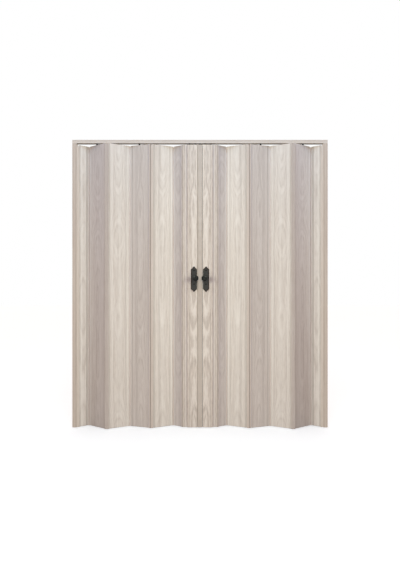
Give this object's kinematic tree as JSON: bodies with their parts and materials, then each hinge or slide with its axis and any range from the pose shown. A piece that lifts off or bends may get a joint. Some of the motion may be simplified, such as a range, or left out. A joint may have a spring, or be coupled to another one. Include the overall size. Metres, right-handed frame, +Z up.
{
  "type": "accordion door",
  "caption": "Double accordion door: hollow wood-grain vinyl panels joined by bead-and-socket hinge strips, on rollers in a head track, with jambs and black handles.",
  "frame": {"origin": "floor level, in the middle of the doorway, on the centre line of the head track", "axes": "+Z up, X along the track with the left leaf at -X, -Y towards the front, where the picture was taken from"},
  "size_m": [1.8042, 0.121, 2.032],
  "materials": {
    "frame_vinyl": "embossed wood-grain PVC extrusion",
    "panel_vinyl": "embossed wood-grain PVC extrusion",
    "strip_vinyl": "embossed wood-grain PVC extrusion",
    "lead_vinyl": "embossed wood-grain PVC extrusion",
    "hanger_steel": "dark painted pressed steel",
    "wheel_nylon": "natural nylon wheels on a steel axle",
    "black_iron": "hammered black iron",
    "screw_steel": "black screw heads",
    "steel": "bright steel",
    "magnet_rubber": "flexible magnet"
  },
  "bodies": {
    "root": {"head_track": "frame_vinyl", "left_jamb": "frame_vinyl", "right_jamb": "frame_vinyl", "left_starter_strip": "strip_vinyl", "right_starter_strip": "strip_vinyl"},
    "left_jamb_half_panel": {"left_jamb_half_panel": "panel_vinyl"},
    "left_strip_1": {"left_strip_1": "strip_vinyl"},
    "left_panel_a": {"left_panel_a": "panel_vinyl"},
    "left_panel_a_hanger": {"left_panel_a_hanger": "hanger_steel"},
    "left_panel_a_wheels": {"left_panel_a_wheels": "wheel_nylon"},
    "left_strip_2": {"left_strip_2": "strip_vinyl"},
    "left_panel_b": {"left_panel_b": "panel_vinyl"},
    "left_strip_3": {"left_strip_3": "strip_vinyl"},
    "left_panel_c": {"left_panel_c": "panel_vinyl"},
    "left_panel_c_hanger": {"left_panel_c_hanger": "hanger_steel"},
    "left_panel_c_wheels": {"left_panel_c_wheels": "wheel_nylon"},
    "left_strip_4": {"left_strip_4": "strip_vinyl"},
    "left_panel_d": {"left_panel_d": "panel_vinyl"},
    "left_strip_5": {"left_strip_5": "strip_vinyl"},
    "left_lead_half_panel": {"left_lead_half_panel": "panel_vinyl"},
    "left_lead": {"left_lead_post": "lead_vinyl", "left_lead_hangers": "hanger_steel", "left_front_plate": "black_iron", "left_back_plate": "black_iron", "left_front_knob": "black_iron", "left_back_knob": "black_iron", "left_knob_rod": "steel", "left_plate_screws": "screw_steel", "centre_strip": "lead_vinyl", "magnet_strip": "magnet_rubber"},
    "left_lead_wheels_1": {"left_lead_wheels_1": "wheel_nylon"},
    "left_lead_wheels_2": {"left_lead_wheels_2": "wheel_nylon"},
    "right_jamb_half_panel": {"right_jamb_half_panel": "panel_vinyl"},
    "right_strip_1": {"right_strip_1": "strip_vinyl"},
    "right_panel_a": {"right_panel_a": "panel_vinyl"},
    "right_panel_a_hanger": {"right_panel_a_hanger": "hanger_steel"},
    "right_panel_a_wheels": {"right_panel_a_wheels": "wheel_nylon"},
    "right_strip_2": {"right_strip_2": "strip_vinyl"},
    "right_panel_b": {"right_panel_b": "panel_vinyl"},
    "right_strip_3": {"right_strip_3": "strip_vinyl"},
    "right_panel_c": {"right_panel_c": "panel_vinyl"},
    "right_panel_c_hanger": {"right_panel_c_hanger": "hanger_steel"},
    "right_panel_c_wheels": {"right_panel_c_wheels": "wheel_nylon"},
    "right_strip_4": {"right_strip_4": "strip_vinyl"},
    "right_panel_d": {"right_panel_d": "panel_vinyl"},
    "right_strip_5": {"right_strip_5": "strip_vinyl"},
    "right_lead_half_panel": {"right_lead_half_panel": "panel_vinyl"},
    "right_lead": {"right_lead_post": "lead_vinyl", "right_lead_hangers": "hanger_steel", "right_front_plate": "black_iron", "right_back_plate": "black_iron", "right_front_knob": "black_iron", "right_back_knob": "black_iron", "right_knob_rod": "steel", "right_plate_screws": "screw_steel", "strike_strip": "steel"},
    "right_lead_wheels_1": {"right_lead_wheels_1": "wheel_nylon"},
    "right_lead_wheels_2": {"right_lead_wheels_2": "wheel_nylon"},
    "centre_wheels": {"centre_wheels": "wheel_nylon"}
  },
  "joints": [
    {"name": "left_fold", "type": "hinge", "parent": "root", "child": "left_jamb_half_panel", "pos_m": [-0.85987, 0, 1.003], "axis": [0, 0, 1], "range_deg": [0, 60.5]},
    {"name": "left_strip_1_hinge", "type": "hinge", "parent": "left_jamb_half_panel", "child": "left_strip_1", "pos_m": [-0.80259, 0.02856, 1.003], "axis": [0, 0, 1], "range_deg": [-60.5, 0]},
    {"name": "left_panel_a_hinge", "type": "hinge", "parent": "left_strip_1", "child": "left_panel_a", "pos_m": [-0.78759, 0.02856, 1.003], "axis": [0, 0, 1], "range_deg": [-60.5, 0]},
    {"name": "left_panel_a_hanger_swivel", "type": "hinge", "parent": "left_panel_a", "child": "left_panel_a_hanger", "pos_m": [-0.73031, 0, 1.99], "axis": [0, 0, 1], "range_deg": [0, 60.5]},
    {"name": "left_panel_a_wheels_roll", "type": "hinge", "parent": "left_panel_a_hanger", "child": "left_panel_a_wheels", "pos_m": [-0.73031, 0, 2.0171], "axis": [0, 1, 0], "continuous": true},
    {"name": "left_strip_2_hinge", "type": "hinge", "parent": "left_panel_a", "child": "left_strip_2", "pos_m": [-0.65782, -0.03614, 1.003], "axis": [0, 0, 1], "range_deg": [0, 60.5]},
    {"name": "left_panel_b_hinge", "type": "hinge", "parent": "left_strip_2", "child": "left_panel_b", "pos_m": [-0.64282, -0.03614, 1.003], "axis": [0, 0, 1], "range_deg": [0, 66.37]},
    {"name": "left_strip_3_hinge", "type": "hinge", "parent": "left_panel_b", "child": "left_strip_3", "pos_m": [-0.50712, 0.01494, 1.003], "axis": [0, 0, 1], "range_deg": [-66.37, 0]},
    {"name": "left_panel_c_hinge", "type": "hinge", "parent": "left_strip_3", "child": "left_panel_c", "pos_m": [-0.49212, 0.01494, 1.003], "axis": [0, 0, 1], "range_deg": [-73.5, 0]},
    {"name": "left_panel_c_hanger_swivel", "type": "hinge", "parent": "left_panel_c", "child": "left_panel_c_hanger", "pos_m": [-0.42989, 0, 1.99], "axis": [0, 0, 1], "range_deg": [0, 73.5]},
    {"name": "left_panel_c_wheels_roll", "type": "hinge", "parent": "left_panel_c_hanger", "child": "left_panel_c_wheels", "pos_m": [-0.42989, 0, 2.0171], "axis": [0, 1, 0], "continuous": true},
    {"name": "left_strip_4_hinge", "type": "hinge", "parent": "left_panel_c", "child": "left_strip_4", "pos_m": [-0.35113, -0.01891, 1.003], "axis": [0, 0, 1], "range_deg": [0, 73.5]},
    {"name": "left_panel_d_hinge", "type": "hinge", "parent": "left_strip_4", "child": "left_panel_d", "pos_m": [-0.33613, -0.01891, 1.003], "axis": [0, 0, 1], "range_deg": [0, 68.95]},
    {"name": "left_strip_5_hinge", "type": "hinge", "parent": "left_panel_d", "child": "left_strip_5", "pos_m": [-0.19827, 0.02603, 1.003], "axis": [0, 0, 1], "range_deg": [-68.95, 0]},
    {"name": "left_lead_half_panel_hinge", "type": "hinge", "parent": "left_strip_5", "child": "left_lead_half_panel", "pos_m": [-0.18327, 0.02603, 1.003], "axis": [0, 0, 1], "range_deg": [-63, 0]},
    {"name": "left_lead_hinge", "type": "hinge", "parent": "left_lead_half_panel", "child": "left_lead", "pos_m": [-0.1248, 0, 1.003], "axis": [0, 0, 1], "range_deg": [0, 63]},
    {"name": "left_lead_wheels_1_roll", "type": "hinge", "parent": "left_lead", "child": "left_lead_wheels_1", "pos_m": [-0.034, 0, 2.0171], "axis": [0, 1, 0], "continuous": true},
    {"name": "left_lead_wheels_2_roll", "type": "hinge", "parent": "left_lead", "child": "left_lead_wheels_2", "pos_m": [-0.076, 0, 2.0171], "axis": [0, 1, 0], "continuous": true},
    {"name": "right_fold", "type": "hinge", "parent": "root", "child": "right_jamb_half_panel", "pos_m": [0.85987, 0, 1.003], "axis": [0, 0, -1], "range_deg": [0, 60.5]},
    {"name": "right_strip_1_hinge", "type": "hinge", "parent": "right_jamb_half_panel", "child": "right_strip_1", "pos_m": [0.80259, 0.02856, 1.003], "axis": [0, 0, -1], "range_deg": [-60.5, 0]},
    {"name": "right_panel_a_hinge", "type": "hinge", "parent": "right_strip_1", "child": "right_panel_a", "pos_m": [0.78759, 0.02856, 1.003], "axis": [0, 0, -1], "range_deg": [-60.5, 0]},
    {"name": "right_panel_a_hanger_swivel", "type": "hinge", "parent": "right_panel_a", "child": "right_panel_a_hanger", "pos_m": [0.73031, 0, 1.99], "axis": [0, 0, -1], "range_deg": [0, 60.5]},
    {"name": "right_panel_a_wheels_roll", "type": "hinge", "parent": "right_panel_a_hanger", "child": "right_panel_a_wheels", "pos_m": [0.73031, 0, 2.0171], "axis": [0, 1, 0], "continuous": true},
    {"name": "right_strip_2_hinge", "type": "hinge", "parent": "right_panel_a", "child": "right_strip_2", "pos_m": [0.65782, -0.03614, 1.003], "axis": [0, 0, -1], "range_deg": [0, 60.5]},
    {"name": "right_panel_b_hinge", "type": "hinge", "parent": "right_strip_2", "child": "right_panel_b", "pos_m": [0.64282, -0.03614, 1.003], "axis": [0, 0, -1], "range_deg": [0, 66.37]},
    {"name": "right_strip_3_hinge", "type": "hinge", "parent": "right_panel_b", "child": "right_strip_3", "pos_m": [0.50712, 0.01494, 1.003], "axis": [0, 0, -1], "range_deg": [-66.37, 0]},
    {"name": "right_panel_c_hinge", "type": "hinge", "parent": "right_strip_3", "child": "right_panel_c", "pos_m": [0.49212, 0.01494, 1.003], "axis": [0, 0, -1], "range_deg": [-73.5, 0]},
    {"name": "right_panel_c_hanger_swivel", "type": "hinge", "parent": "right_panel_c", "child": "right_panel_c_hanger", "pos_m": [0.42989, 0, 1.99], "axis": [0, 0, -1], "range_deg": [0, 73.5]},
    {"name": "right_panel_c_wheels_roll", "type": "hinge", "parent": "right_panel_c_hanger", "child": "right_panel_c_wheels", "pos_m": [0.42989, 0, 2.0171], "axis": [0, 1, 0], "continuous": true},
    {"name": "right_strip_4_hinge", "type": "hinge", "parent": "right_panel_c", "child": "right_strip_4", "pos_m": [0.35113, -0.01891, 1.003], "axis": [0, 0, -1], "range_deg": [0, 73.5]},
    {"name": "right_panel_d_hinge", "type": "hinge", "parent": "right_strip_4", "child": "right_panel_d", "pos_m": [0.33613, -0.01891, 1.003], "axis": [0, 0, -1], "range_deg": [0, 68.95]},
    {"name": "right_strip_5_hinge", "type": "hinge", "parent": "right_panel_d", "child": "right_strip_5", "pos_m": [0.19827, 0.02603, 1.003], "axis": [0, 0, -1], "range_deg": [-68.95, 0]},
    {"name": "right_lead_half_panel_hinge", "type": "hinge", "parent": "right_strip_5", "child": "right_lead_half_panel", "pos_m": [0.18327, 0.02603, 1.003], "axis": [0, 0, -1], "range_deg": [-63, 0]},
    {"name": "right_lead_hinge", "type": "hinge", "parent": "right_lead_half_panel", "child": "right_lead", "pos_m": [0.1248, 0, 1.003], "axis": [0, 0, -1], "range_deg": [0, 63]},
    {"name": "right_lead_wheels_1_roll", "type": "hinge", "parent": "right_lead", "child": "right_lead_wheels_1", "pos_m": [0.034, 0, 2.0171], "axis": [0, 1, 0], "continuous": true},
    {"name": "right_lead_wheels_2_roll", "type": "hinge", "parent": "right_lead", "child": "right_lead_wheels_2", "pos_m": [0.076, 0, 2.0171], "axis": [0, 1, 0], "continuous": true},
    {"name": "centre_wheels_roll", "type": "hinge", "parent": "left_lead", "child": "centre_wheels", "pos_m": [0, 0, 2.0171], "axis": [0, 1, 0], "continuous": true}
  ],
  "couplings": [
    {"joint": "left_strip_1_hinge", "follows": "left_fold", "ratio": -1},
    {"joint": "left_panel_a_hinge", "follows": "left_fold", "ratio": -1},
    {"joint": "left_panel_a_hanger_swivel", "follows": "left_fold", "ratio": 1},
    {"joint": "left_strip_2_hinge", "follows": "left_fold", "ratio": 1},
    {"joint": "left_panel_b_hinge", "follows": "left_fold", "ratio": 1.0971},
    {"joint": "left_strip_3_hinge", "follows": "left_fold", "ratio": -1.0971},
    {"joint": "left_panel_c_hinge", "follows": "left_fold", "ratio": -1.2149},
    {"joint": "left_panel_c_hanger_swivel", "follows": "left_fold", "ratio": 1.2149},
    {"joint": "left_strip_4_hinge", "follows": "left_fold", "ratio": 1.2149},
    {"joint": "left_panel_d_hinge", "follows": "left_fold", "ratio": 1.1396},
    {"joint": "left_strip_5_hinge", "follows": "left_fold", "ratio": -1.1396},
    {"joint": "left_lead_half_panel_hinge", "follows": "left_fold", "ratio": -1.0413},
    {"joint": "left_lead_hinge", "follows": "left_fold", "ratio": 1.0413},
    {"joint": "right_strip_1_hinge", "follows": "right_fold", "ratio": -1},
    {"joint": "right_panel_a_hinge", "follows": "right_fold", "ratio": -1},
    {"joint": "right_panel_a_hanger_swivel", "follows": "right_fold", "ratio": 1},
    {"joint": "right_strip_2_hinge", "follows": "right_fold", "ratio": 1},
    {"joint": "right_panel_b_hinge", "follows": "right_fold", "ratio": 1.0971},
    {"joint": "right_strip_3_hinge", "follows": "right_fold", "ratio": -1.0971},
    {"joint": "right_panel_c_hinge", "follows": "right_fold", "ratio": -1.2149},
    {"joint": "right_panel_c_hanger_swivel", "follows": "right_fold", "ratio": 1.2149},
    {"joint": "right_strip_4_hinge", "follows": "right_fold", "ratio": 1.2149},
    {"joint": "right_panel_d_hinge", "follows": "right_fold", "ratio": 1.1396},
    {"joint": "right_strip_5_hinge", "follows": "right_fold", "ratio": -1.1396},
    {"joint": "right_lead_half_panel_hinge", "follows": "right_fold", "ratio": -1.0413},
    {"joint": "right_lead_hinge", "follows": "right_fold", "ratio": 1.0413}
  ]
}
